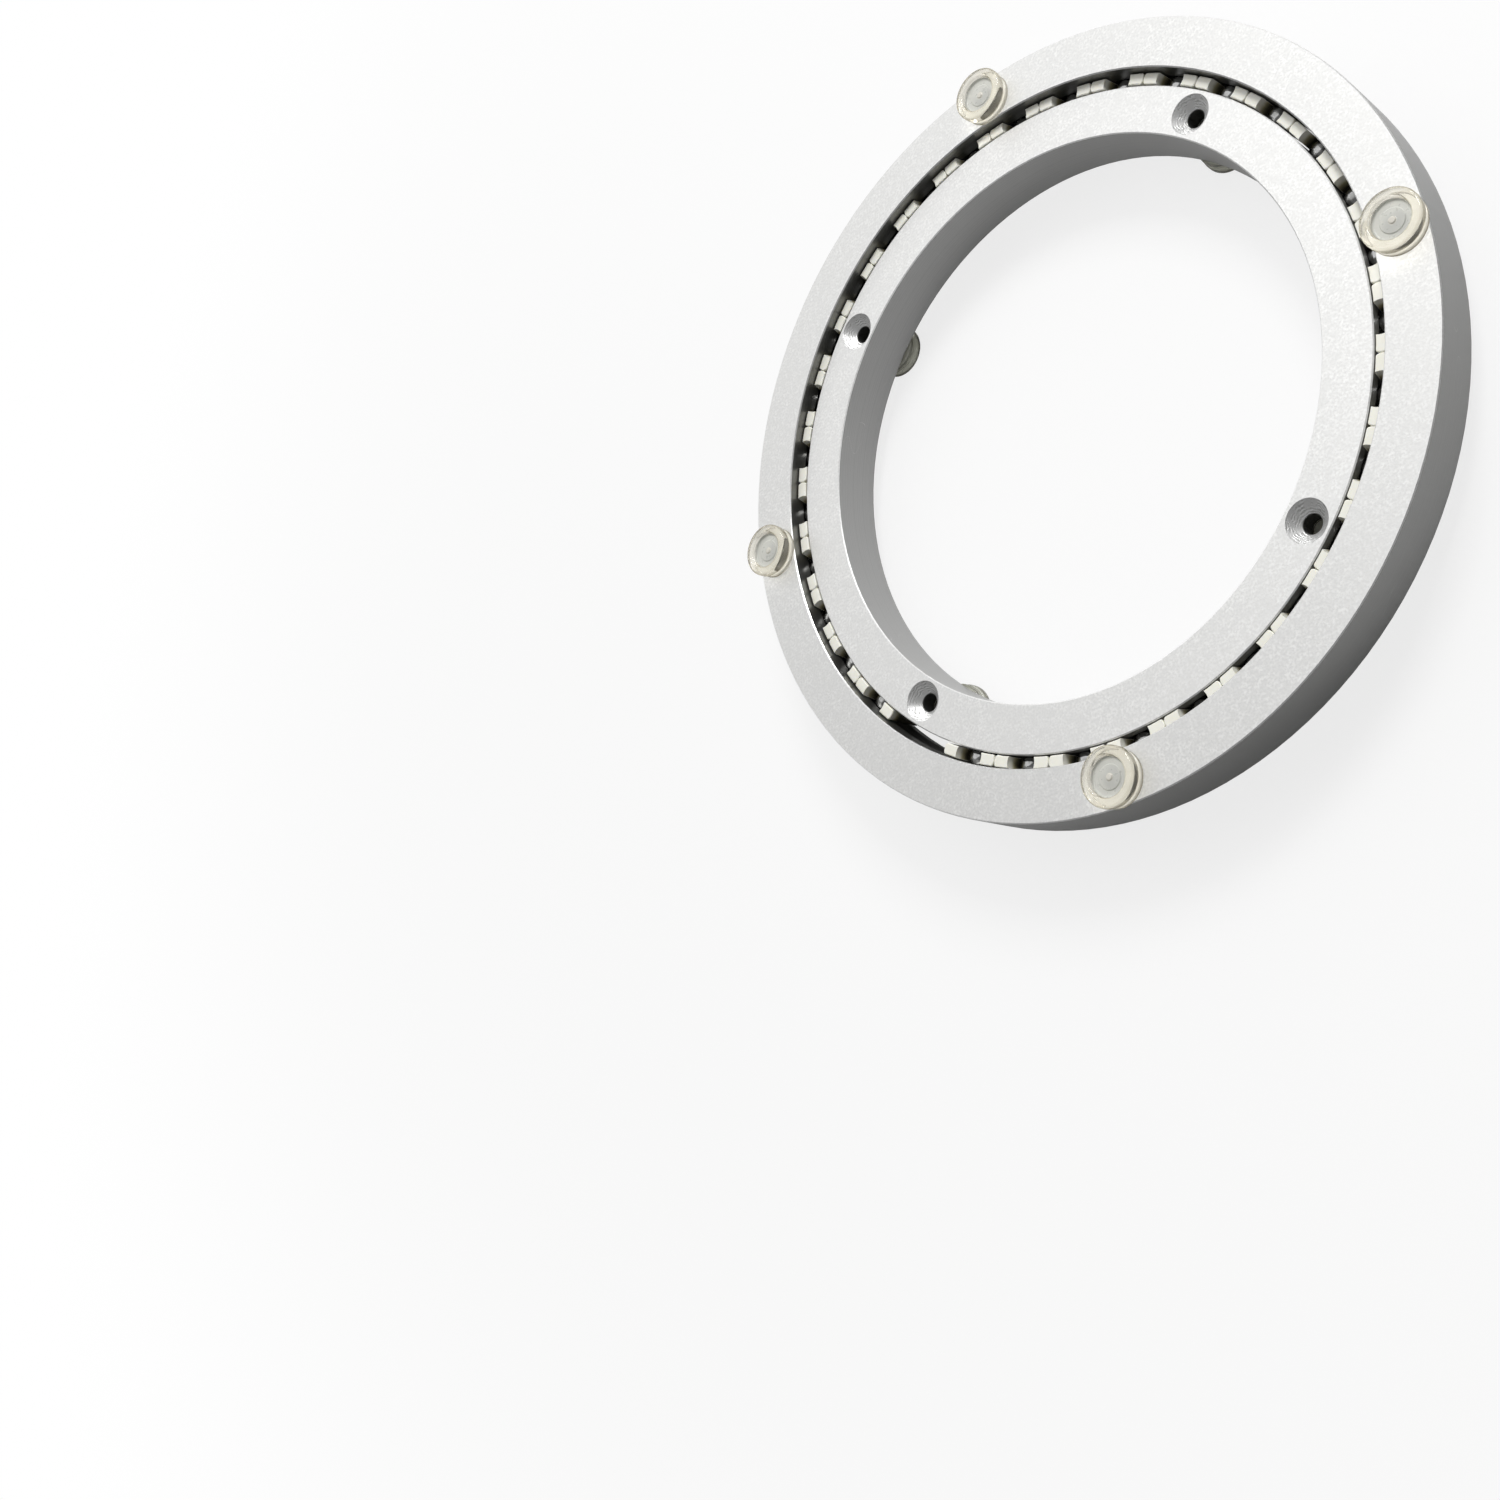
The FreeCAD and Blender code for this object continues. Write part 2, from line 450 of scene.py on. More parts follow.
@dataclass(frozen=True)
class SatinAluminium:
    """Fine-blasted faces, edge cuts with a painted highlight, turned walls painted darker than the faces as
    shade, and tool-marked countersinks.

    A colour's tones are its shares in the hollows and on the crests of a grain or mark. A rim is
    the narrow stretch, in millimetres, over which one kind of surface turns into another.
    """

    # The wall colour is painted shade: the same metal as the faces, written darker for the upright walls.
    wall: Colour = (0.29, 0.29, 0.285)
    face: Colour = (0.78, 0.78, 0.77)
    # Edge cut colour: bright cut metal, with a painted highlight on top.
    edge: Colour = (0.96, 0.96, 0.95)
    # Race colour: painted shade, darker for the walls in the narrow gap between the rings.
    race: Colour = (0.26, 0.26, 0.25)
    sink: Colour = (0.92, 0.92, 0.90)
    # Colour of the hole's straight part: painted shade, near black deep in the screw holes.
    shank_shade: Colour = (0.12, 0.12, 0.115)

    wall_tones: Tones = (0.90, 1.08)
    face_tones: Tones = (0.85, 1.09)
    edge_tones: Tones = (0.90, 1.0)
    race_tones: Tones = (0.80, 1.0)
    sink_tones: Tones = (0.62, 1.22)
    patch_tone: float = 0.88
    cloud_tone: float = 0.94
    # Tone of the painted shadow line below the edge cut.
    shadow_line_tone: float = 0.45
    scratch_tone: float = 1.9

    wall_metal: float = 0.88
    face_metal: float = 0.80
    sink_metal: float = 0.88
    wall_rough: Span = Span(0.0, 1.0, 0.29, 0.37)
    face_rough: Span = Span(0.3, 0.7, 0.50, 0.60)
    sink_rough: Span = Span(0.1, 0.9, 0.56, 0.34)

    flat_level: Span = Span(0.86, 0.96)
    cut_rim: Span = Span(-0.02, 0.02)
    # Where the painted shadow line lies, just below the edge cut.
    shadow_line_rim: Span = Span(-0.22, -0.06, 0.0, 0.55)
    race_rim: Span = Span(-0.5, -0.3)
    sink_rim: Span = Span(0.0, 0.08, 1.0, 0.0)
    shank_rim: Span = Span(0.04, 0.14, 1.0, 0.0)

    blast_grain: Grain = Grain(2.2, 3.0)
    blast_on_face: Span = Span(0.30, 0.70)
    blast_on_edge: Span = Span(0.35, 0.70)
    patch_grain: Grain = Grain(0.95)
    patch_share: Span = Span(0.35, 0.65, 0.55, 0.0)
    cloud_grain: Grain = Grain(0.10)
    cloud_share: Span = Span(0.3, 0.7, 0.0, 0.3)
    lathe_grain: Grain = Grain(5.0)
    lathe_lines: Span = Span(0.3, 0.7)

    mark_pitch: float = 0.36
    mark_wander: float = 0.9
    mark_wander_grain: Grain = Grain(0.9, 3.0)
    mark_smear_grain: Grain = Grain(0.8, 3.0)
    mark_swing: Span = Span(0.40, 0.62, 0.0, 0.95)
    mark_middle: float = 0.5

    scratch_slant: float = 0.9
    scratch_grain: Grain = Grain(0.11, 0.0, (1.0, 1.0, 2.4))
    scratch_middle: float = 0.5
    scratch_width: Span = Span(0.0004, 0.0026, 1.0, 0.0)
    scratch_break_grain: Grain = Grain(0.16, 1.0)
    scratch_break: Span = Span(0.56, 0.64, 0.0, 0.5)

    relief_grain: Grain = Grain(3.52)
    mark_height: float = 1.3
    lathe_height: float = 0.2
    relief_depth: float = 0.022
    relief_strength: float = 0.6

    def material(self, ring: Ring) -> bpy.types.Material:
        """Make one ring's finish.

        Args:
            ring: The ring, whose sizes say where its walls, edges and holes are.

        Returns:
            The material.
        """
        graph = MaterialGraph(ring.node + "_satin")
        place = graph.place_in_mm()
        across, along, height = graph.parts_of(place)
        radius = graph.length(across, along)
        hole = graph.from_nearest(across, along, ring.holes)
        zones = self._zones(graph, ring, height, radius, hole)
        marks = RingMarks(
            blasted=graph.grain(place, self.blast_grain),
            turned=graph.patches(graph.joined(height, radius), self.lathe_grain, self.lathe_lines),
            sunk=self._tool_marks(graph, place, hole),
            scratched=self._scratches(graph, across, along, height),
        )
        wall_or_face = graph.pick(zones.flat, self.wall_metal, self.face_metal)
        relief = self._relief(graph, place, zones, marks)
        return graph.finish(
            Base_Color=self._colour(graph, place, zones, marks),
            Roughness=self._roughness(graph, zones, marks),
            Metallic=graph.pick(zones.in_hole, wall_or_face, self.sink_metal),
            Normal=graph.bump(relief, self.relief_depth, self.relief_strength),
        )

    def _zones(self, graph: Graph, ring: Ring, height: Socket, radius: Socket, hole: Socket) -> RingZones:
        """Tell the ring's kinds of surface apart.

        Args:
            graph: The material's tree.
            ring: The ring.
            height: Height in millimetres.
            radius: Distance from the ring's axis in millimetres.
            hole: Distance from the nearest hole's middle in millimetres.

        Returns:
            The zones.
        """
        normal = graph.parts_of(graph.node("ShaderNodeNewGeometry").outputs["Normal"])
        flat = graph.band(graph.math("ABSOLUTE", normal[2]), self.flat_level)
        upright = graph.math("SUBTRACT", 1.0, flat)
        off_middle = graph.away_from(height, ring.middle_height)
        cut_start = ring.thickness / 2 - ring.edge_cut
        race_way = 1.0 if ring.race_outside else -1.0
        towards_race = graph.math("MULTIPLY", graph.math("SUBTRACT", radius, ring.race_radius), race_way)
        in_hole = graph.math("MULTIPLY", graph.band(hole, self.sink_rim.moved(ring.sink_radius)), upright)
        within_shank = graph.band(hole, self.shank_rim.moved(ring.shank_radius))
        return RingZones(
            flat=flat,
            upright=upright,
            cut=graph.band(off_middle, self.cut_rim.moved(cut_start)),
            # Painted shadow: a thin dark line just below the edge cut.
            shadow_line=graph.band(off_middle, self.shadow_line_rim.moved(cut_start)),
            race_side=graph.band(towards_race, self.race_rim),
            in_hole=in_hole,
            in_shank=graph.math("MULTIPLY", in_hole, within_shank),
        )

    def _tool_marks(self, graph: Graph, place: Socket, hole: Socket) -> Socket:
        """Uneven circles that the countersinking tool leaves.

        Args:
            graph: The material's tree.
            place: The point in millimetres.
            hole: Distance from the hole's middle in millimetres.

        Returns:
            The marks, about 0 to 1.
        """
        wander = graph.grain(place, self.mark_wander_grain)
        distance = graph.math("MULTIPLY_ADD", wander, self.mark_wander, hole)
        wave = graph.math("SINE", graph.math("MULTIPLY", distance, 2 * math.pi / self.mark_pitch))
        swing = graph.patches(place, self.mark_smear_grain, self.mark_swing)
        return graph.math("MULTIPLY_ADD", wave, swing, self.mark_middle)

    def _scratches(self, graph: Graph, across: Socket, along: Socket, height: Socket) -> Socket:
        """A few faint slanting scratches on a wall.

        Args:
            graph: The material's tree.
            across: X in millimetres.
            along: Y in millimetres.
            height: Height in millimetres.

        Returns:
            How much a scratch shows, 0 to about 0.5.
        """
        place = graph.joined(across, along, graph.math("MULTIPLY", height, self.scratch_slant))
        off_line = graph.away_from(graph.grain(place, self.scratch_grain), self.scratch_middle)
        broken = graph.patches(place, self.scratch_break_grain, self.scratch_break)
        return graph.math("MULTIPLY", graph.band(off_line, self.scratch_width), broken)

    def _colour(self, graph: Graph, place: Socket, zones: RingZones, marks: RingMarks) -> Socket:
        """Lay the colours of the zones over one another.

        Args:
            graph: The material's tree.
            place: The point in millimetres.
            zones: The ring's zones.
            marks: The ring's marks.

        Returns:
            The colour.
        """
        face = graph.toned(graph.band(marks.blasted, self.blast_on_face), self.face, self.face_tones)
        patches = graph.patches(place, self.patch_grain, self.patch_share)
        face = graph.blend(patches, face, tone(self.face, self.patch_tone))
        clouds = graph.patches(place, self.cloud_grain, self.cloud_share)
        face = graph.blend(clouds, face, tone(self.face, self.cloud_tone))
        # Turned walls: lathe lines over a colour painted darker than the faces, as shade.
        wall = graph.toned(marks.turned, self.wall, self.wall_tones)
        # Painted shadow: a thin dark line just below the edge cut.
        wall = graph.blend(zones.shadow_line, wall, tone(self.wall, self.shadow_line_tone))
        wall = graph.blend(marks.scratched, wall, tone(self.wall, self.scratch_tone))
        # Race walls: painted shade in the narrow gap between the rings.
        race = graph.toned(marks.turned, self.race, self.race_tones)
        # Edge cuts: bright cut metal, brightened further as a painted highlight.
        edge = graph.toned(graph.band(marks.blasted, self.blast_on_edge), self.edge, self.edge_tones)
        sink = graph.toned(marks.sunk, self.sink, self.sink_tones)
        colour = graph.blend(zones.race_side, wall, race)
        colour = graph.blend(zones.cut, colour, edge)
        colour = graph.blend(zones.flat, colour, face)
        colour = graph.blend(zones.in_hole, colour, sink)
        # The hole's straight part is painted near black as shade.
        return graph.blend(zones.in_shank, colour, self.shank_shade)

    def _roughness(self, graph: Graph, zones: RingZones, marks: RingMarks) -> Socket:
        """Choose the roughness of each zone.

        Args:
            graph: The material's tree.
            zones: The ring's zones.
            marks: The ring's marks.

        Returns:
            The roughness.
        """
        wall = graph.band(marks.turned, self.wall_rough)
        face = graph.band(marks.blasted, self.face_rough)
        sink = graph.band(marks.sunk, self.sink_rough)
        return graph.pick(zones.in_hole, graph.pick(zones.flat, wall, face), sink)

    def _relief(self, graph: Graph, place: Socket, zones: RingZones, marks: RingMarks) -> Socket:
        """Add up the fine relief of the zones.

        Args:
            graph: The material's tree.
            place: The point in millimetres.
            zones: The ring's zones.
            marks: The ring's marks.

        Returns:
            The relief's height, about 0 to 1.
        """
        blasted = graph.math("MULTIPLY", graph.grain(place, self.relief_grain), zones.flat)
        sunk = graph.math("MULTIPLY", marks.sunk, zones.in_hole)
        turned = graph.math("MULTIPLY", marks.turned, zones.upright)
        relief = graph.math("MULTIPLY_ADD", sunk, self.mark_height, blasted)
        return graph.math("MULTIPLY_ADD", turned, self.lathe_height, relief)


@dataclass(frozen=True)
class IvoryPlastic:
    """Moulded ivory plastic of the links, with painted shade darkening deep in their ball pockets."""

    colour: Colour = (0.95, 0.94, 0.855)
    shade: Colour = (0.90, 0.885, 0.77)
    # Painted shade in the pockets: a brown mid tone, then near black with depth.
    pocket_shade: Colour = (0.42, 0.375, 0.21)
    pocket_shadow: Colour = (0.05, 0.044, 0.026)
    mottle_grain: Grain = Grain(0.55, 3.0)
    mottle_share: Span = Span(0.35, 0.70, 0.0, 0.5)
    side_rim: Span = Span(-0.05, -0.01, 1.0, 0.0)
    pocket_depth: Span = Span(-2.9, -0.1, 1.0, 0.0)
    shade_breakup_grain: Grain = Grain(0.9)
    shade_breakup_share: Span = Span(0.3, 0.7, 0.86, 1.0)
    pocket_shade_share: Span = Span(0.05, 0.55)
    pocket_shadow_share: Span = Span(0.35, 0.95)
    speck_grain: Grain = Grain(6.0)
    roughness: Span = Span(0.3, 0.7, 0.30, 0.44)
    speck_depth: float = 0.008
    speck_strength: float = 0.5
    scatter: float = 0.12
    scatter_reach: float = 0.5
    scatter_colour: Colour = (0.9, 0.8, 0.55)

    def material(self, chain: LinkChain) -> bpy.types.Material:
        """Make the finish.

        Args:
            chain: The chain, whose sizes say how deep the pockets are.

        Returns:
            The material.
        """
        graph = MaterialGraph("ivory_plastic")
        place = graph.place_in_mm()
        across, along, height = graph.parts_of(place)
        mottle = graph.patches(place, self.mottle_grain, self.mottle_share)
        off_circle = graph.away_from(graph.length(across, along), chain.circle_radius)
        between_sides = graph.band(off_circle, self.side_rim.moved(chain.half_width))
        depth = graph.band(height, self.pocket_depth.moved(chain.top))
        # Painted shade: darker with depth inside the pockets, broken up by noise.
        shade_breakup = graph.patches(place, self.shade_breakup_grain, self.shade_breakup_share)
        pocket_shading = graph.math("MULTIPLY", graph.math("MULTIPLY", depth, between_sides), shade_breakup)
        colour = graph.blend(mottle, self.colour, self.shade)
        colour = graph.blend(graph.band(pocket_shading, self.pocket_shade_share), colour, self.pocket_shade)
        colour = graph.blend(graph.band(pocket_shading, self.pocket_shadow_share), colour, self.pocket_shadow)
        speck = graph.grain(place, self.speck_grain)
        return graph.finish(
            Base_Color=colour,
            Roughness=graph.band(speck, self.roughness),
            Subsurface_Weight=self.scatter,
            Subsurface_Radius=self.scatter_colour,
            Subsurface_Scale=self.scatter_reach * MM,
            Normal=graph.bump(speck, self.speck_depth, self.speck_strength),
        )


@dataclass(frozen=True)
class BallSteel:
    """Polished steel of the balls, painted dark as shade in the gap between the rings."""

    # Steel colour written darker than steel, as painted shade in the gap.
    colour: Colour = (0.42, 0.42, 0.42)
    track: Colour = (0.26, 0.26, 0.25)
    wear_grain: Grain = Grain(0.9, 3.0)
    wear_share: Span = Span(0.40, 0.70, 0.0, 0.8)
    roughness: Span = Span(0.0, 0.8, 0.12, 0.26)

    def material(self) -> bpy.types.Material:
        """Make the finish.

        Returns:
            The material.
        """
        graph = MaterialGraph("ball_steel")
        wear = graph.patches(graph.place_in_mm(), self.wear_grain, self.wear_share)
        return graph.finish(
            Base_Color=graph.blend(wear, self.colour, self.track),
            Metallic=1.0,
            Roughness=graph.band(wear, self.roughness),
        )


@dataclass(frozen=True)
class ClearPlastic:
    """Clear plastic of the feet, slightly yellow, milky at the waist, nearly opaque on the dish's floor and
    painted grey there as shade.

    Where the plastic slants away from the eye, its colour is painted darker as shade, as a dark rim.
    """

    colour: Colour = (0.83, 0.81, 0.745)
    haze: Colour = (0.77, 0.745, 0.67)
    painted_outline: Colour = (0.28, 0.25, 0.17)
    # Dish floor colour: painted shade, grey on the nearly opaque floor of the dish.
    dish_floor_shade: Colour = (0.60, 0.605, 0.565)
    clearness: float = 0.84
    waist_clearness: float = 0.48
    frosted_clearness: float = 0.12
    refraction: float = 1.47
    dish_rim: Span = Span(-0.25, 0.1, 1.0, 0.0)
    floor_rim: Span = Span(0.1, 0.3, 1.0, 0.0)
    nub_rim: Span = Span(0.0, 0.15, 1.0, 0.0)
    disc_rim: Span = Span(-0.1, 0.1)
    painted_outline_slant: Span = Span(0.26, 0.64, 0.0, 0.97)
    cloud_grain: Grain = Grain(0.35)
    cloud_share: Span = Span(0.35, 0.7)
    frost_grain: Grain = Grain(1.4)
    frost_rough: Span = Span(0.3, 0.7, 0.26, 0.42)
    nub_rough: float = 0.10
    body_rough: Span = Span(0.0, 1.0, 0.10, 0.15)
    ripple_grain: Grain = Grain(0.8, 1.0)
    ripple_depth: float = 0.02
    ripple_strength: float = 0.2

    def material(self, feet: Feet) -> bpy.types.Material:
        """Make the finish.

        Args:
            feet: The feet, whose sizes say where their dishes are.

        Returns:
            The material.
        """
        graph = MaterialGraph("clear_" + feet.node_prefix + "plastic")
        place = graph.place_in_mm()
        across, along, height = graph.parts_of(place)
        axis = graph.from_nearest(across, along, feet.ring.holes)
        within_dish = graph.band(axis, self.dish_rim.moved(feet.dish_radius))
        off_floor = graph.away_from(height, feet.floor_height)
        near_floor = graph.band(off_floor, self.floor_rim.moved(feet.nub_height))
        on_floor = graph.math("MULTIPLY", within_dish, near_floor)
        within_nub = graph.band(axis, self.nub_rim.moved(feet.nub_radius))
        on_nub = graph.math("MULTIPLY", on_floor, within_nub)
        off_face = graph.away_from(height, feet.face_height)
        at_disc = graph.band(off_face, self.disc_rim.moved(feet.under_disc))

        cloud = graph.patches(place, self.cloud_grain, self.cloud_share)
        slant = graph.node("ShaderNodeLayerWeight").outputs["Facing"]
        body = graph.blend(cloud, self.colour, self.haze)
        # Painted shade: darker towards the rim, where the plastic slants away from the eye.
        body = graph.blend(graph.band(slant, self.painted_outline_slant), body, self.painted_outline)
        # The dish's floor is painted grey as shade; the nub keeps the haze colour.
        floor = graph.blend(on_nub, self.dish_floor_shade, self.haze)
        frost = graph.patches(place, self.frost_grain, self.frost_rough)
        floor_rough = graph.pick(on_nub, frost, self.nub_rough)
        body_clear = graph.pick(at_disc, self.waist_clearness, self.clearness)
        ripple = graph.grain(place, self.ripple_grain)
        return graph.finish(
            Base_Color=graph.blend(on_floor, body, floor),
            Roughness=graph.pick(on_floor, graph.band(cloud, self.body_rough), floor_rough),
            Transmission_Weight=graph.pick(on_floor, body_clear, self.frosted_clearness),
            IOR=self.refraction,
            Normal=graph.bump(ripple, self.ripple_depth, self.ripple_strength),
        )


@dataclass(frozen=True)
class FloorPaint:
    """Plain matt white of the studio floor, which the camera sees nearly white, and white far out.

    The white share is what the camera sees of plain white, by the distance from the bearing's
    axis in millimetres. The rest shows the light and the shadows on the floor.
    """

    colour: Colour = (0.93, 0.93, 0.93)
    shade_tone: float = 0.995
    shade_grain: Grain = Grain(0.01, 1.0)
    roughness: float = 0.9
    gloss: float = 0.1
    white_share: Span = Span(110.0, 420.0, 0.78, 1.0)
    mirrored_share: float = 0.04

    def material(self) -> bpy.types.Material:
        """Make the finish.

        Returns:
            The material.
        """
        graph = MaterialGraph("studio_floor")
        place = graph.place_in_mm()
        across, along, _ = graph.parts_of(place)
        shade = graph.grain(place, self.shade_grain)
        lit = graph.surface(
            Base_Color=graph.blend(shade, self.colour, tone(self.colour, self.shade_tone)),
            Roughness=self.roughness,
            Specular_IOR_Level=self.gloss,
        )
        white = graph.node("ShaderNodeEmission").outputs[0]
        share = graph.band(graph.length(across, along), self.white_share)
        glossy = graph.node("ShaderNodeLightPath").outputs["Is Glossy Ray"]
        mirrored = graph.math("MULTIPLY", glossy, self.mirrored_share)
        seen = graph.math("MAXIMUM", graph.math("MULTIPLY", graph.seen_straight(), share), mirrored)
        graph.show(graph.mixed_shaders(seen, lit, white))
        return graph.material


def dress(part: bpy.types.Object, finish: bpy.types.Material) -> None:
    """Put one finish on every slot of an object.

    Args:
        part: The object.
        finish: The material.
    """
    if not part.material_slots:
        part.data.materials.append(finish)
    for slot in part.material_slots:
        slot.material = finish


@dataclass
class Ring:
    """One aluminium ring, dressed by where its walls, edge cuts and screw holes lie."""

    node: str
    body: Body
    wall_radius: float
    race_radius: float
    bottom: float
    holes: HoleCircle
    finish: SatinAluminium
    thickness: float = 10.0
    edge_cut: float = 0.2
    sink_radius: float = 3.6
    shank_radius: float = 1.6

    @property
    def top(self) -> float:
        """Height of the upper face."""
        return self.bottom + self.thickness

    @property
    def middle_height(self) -> float:
        """Half way up the ring."""
        return self.bottom + self.thickness / 2

    @property
    def race_outside(self) -> bool:
        """Whether the ring's race is its outer wall."""
        return self.race_radius > self.wall_radius

    def build(self, nodes: dict[str, bpy.types.Object]) -> None:
        """Give the ring its finish.

        Args:
            nodes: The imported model's objects by name.
        """
        dress(nodes[self.node], self.finish.material(self))
        LOG.info("%s dressed on %s", self.node, self.body.value)


@dataclass
class LinkChain:
    """The ivory links and the steel balls between the rings."""

    link_prefix: str = "cage_link_"
    ball_node: str = "bearing_balls"
    body: Body = Body.BALL_CHAIN
    circle_radius: float = 59.75
    half_width: float = 1.0
    top: float = 13.2

    def build(self, nodes: dict[str, bpy.types.Object]) -> None:
        """Give the links and the balls their finishes.

        Args:
            nodes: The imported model's objects by name.
        """
        ivory = IvoryPlastic().material(self)
        links = [part for name, part in sorted(nodes.items()) if name.startswith(self.link_prefix)]
        for link in links:
            dress(link, ivory)
        dress(nodes[self.ball_node], BallSteel().material())
        LOG.info("%d links and their balls dressed on %s", len(links), self.body.value)


@dataclass
class Feet:
    """The soft feet of one ring: dished disc, waist, flange and stem, turned about their axes."""

    node_prefix: str
    ring: Ring
    facing: Facing
    finish: ClearPlastic
    disc_radius: float = 5.0
    disc_thickness: float = 1.7
    rim_width: float = 1.6
    dish_floor: float = 0.6
    dish_slope: float = 0.25
    waist_radius: float = 4.3
    waist_height: float = 0.7
    flange_radius: float = 4.8
    flange_thickness: float = 0.8
    ring_step: float = 0.14
    ring_radius: float = 2.1
    nub_radius: float = 0.6
    nub_height: float = 0.35
    step_slope: float = 0.1
    stem_radius: float = 1.9
    stem_length: float = 5.0
    turns: int = 96
    sharp_angle: float = 40.0

    @property
    def body(self) -> Body:
        """The body that the feet ride on."""
        return self.ring.body

    @property
    def face_height(self) -> float:
        """Height of the face that the feet stand on."""
        return self.ring.top if self.facing is Facing.UP else self.ring.bottom

    @property
    def height(self) -> float:
        """How far a foot stands out of its ring."""
        return self.under_disc + self.disc_thickness

    @property
    def under_disc(self) -> float:
        """How far the disc's underside is from the ring."""
        return self.flange_thickness + self.waist_height

    @property
    def dish_radius(self) -> float:
        """Radius of the dish at its rim."""
        return self.disc_radius - self.rim_width

    @property
    def floor_height(self) -> float:
        """Height of the dish's floor in the model."""
        return self.face_height + self.facing.value * (self.under_disc + self.dish_floor)

    def section(self) -> list[Corner]:
        """List the corners of half a foot's section.

        Returns:
            The corners, from the stem's tip around to the middle of the dish.
        """
        under = self.under_disc
        floor = under + self.dish_floor
        dish = self.dish_radius
        return [
            Corner(0.0, -self.stem_length),
            Corner(self.stem_radius, -self.stem_length, rounding=0.9),
            Corner(self.stem_radius, 0.0),
            Corner(self.flange_radius, 0.0, rounding=0.12),
            Corner(self.flange_radius, self.flange_thickness, rounding=0.3),
            Corner(self.waist_radius, self.flange_thickness, rounding=0.1),
            Corner(self.waist_radius, under, rounding=0.15),
            Corner(self.disc_radius, under, rounding=0.35),
            Corner(self.disc_radius, self.height, rounding=0.5),
            Corner(dish, self.height, rounding=0.3),
            Corner(dish - self.dish_slope, floor, rounding=0.3),
            Corner(self.ring_radius, floor, rounding=0.06),
            Corner(self.ring_radius - self.step_slope, floor + self.ring_step, rounding=0.05),
            Corner(self.nub_radius, floor + self.ring_step, rounding=0.05),
            Corner(self.nub_radius - self.step_slope, floor + self.nub_height, rounding=0.1),
            Corner(0.0, floor + self.nub_height),
        ]

    def turned_foot(self) -> bmesh.types.BMesh:
        """Turn one foot about Z, standing on a face at height zero.

        Returns:
            The closed mesh, in metres.
        """
        mesh = bmesh.new()
        section = self.section()
        points = [mesh.verts.new((corner.radius * MM, 0.0, corner.height * MM)) for corner in section]
        edges = [mesh.edges.new(pair) for pair in zip(points, points[1:])]
        bmesh.ops.spin(
            mesh,
            geom=points + edges,
            cent=(0, 0, 0),
            axis=(0, 0, 1),
            angle=2 * math.pi,
            steps=self.turns,
            use_merge=True,
            use_duplicate=False,
        )
        bmesh.ops.remove_doubles(mesh, verts=mesh.verts, dist=SAME_PLACE)
        bmesh.ops.recalc_face_normals(mesh, faces=mesh.faces)
        for corner in section:
            if corner.rounding:
                self._round(mesh, corner)
        return mesh

    @staticmethod
    def _round(mesh: bmesh.types.BMesh, corner: Corner) -> None:
        """Round the circle of edges at one corner of the section.

        Args:
            mesh: The turned foot.
            corner: The corner.
        """

        def on_circle(vert: bmesh.types.BMVert) -> bool:
            """Whether a vertex lies on the corner's circle."""
            off_radius = vert.co.xy.length - corner.radius * MM
            return abs(off_radius) < SAME_PLACE and abs(vert.co.z - corner.height * MM) < SAME_PLACE

        circle = [edge for edge in mesh.edges if all(on_circle(vert) for vert in edge.verts)]
        bmesh.ops.bevel(
            mesh,
            geom=circle,
            offset=corner.rounding * MM,
            offset_type="OFFSET",
            segments=ROUND_STEPS,
            profile=0.5,
            affect="EDGES",
            material=-1,
        )

    def build(self) -> None:
        """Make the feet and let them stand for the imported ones."""
        finish = self.finish.material(self)
        flip = Matrix.Rotation(0.0 if self.facing is Facing.UP else math.pi, 4, "X")
        for index in range(self.ring.holes.count):
            mesh = self.turned_foot()
            place = Matrix.Translation(self.ring.holes.place(index, self.face_height) * MM)
            bmesh.ops.transform(mesh, matrix=place @ flip, verts=mesh.verts)
            bmesh.ops.recalc_face_normals(mesh, faces=mesh.faces)
            node = "%s%d" % (self.node_prefix, index + 1)
            foot = self._object(node + "_soft", mesh)
            dress(foot, finish)
            foot.visible_shadow = False  # clear plastic lets the lamps through
            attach(foot, self.body.value)
            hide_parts(node)
            LOG.info("%s stands for %s", foot.name, node)

    def _object(self, name: str, mesh: bmesh.types.BMesh) -> bpy.types.Object:
        """Turn a finished mesh into a smooth object.

        Args:
            name: The object's name.
            mesh: The mesh, which is freed.

        Returns:
            The object, linked to the scene.
        """
        data = bpy.data.meshes.new(name)
        mesh.to_mesh(data)
        mesh.free()
        data.shade_smooth()
        data.set_sharp_from_angle(angle=math.radians(self.sharp_angle))
        part = bpy.data.objects.new(name, data)
        bpy.context.scene.collection.objects.link(part)
        return part


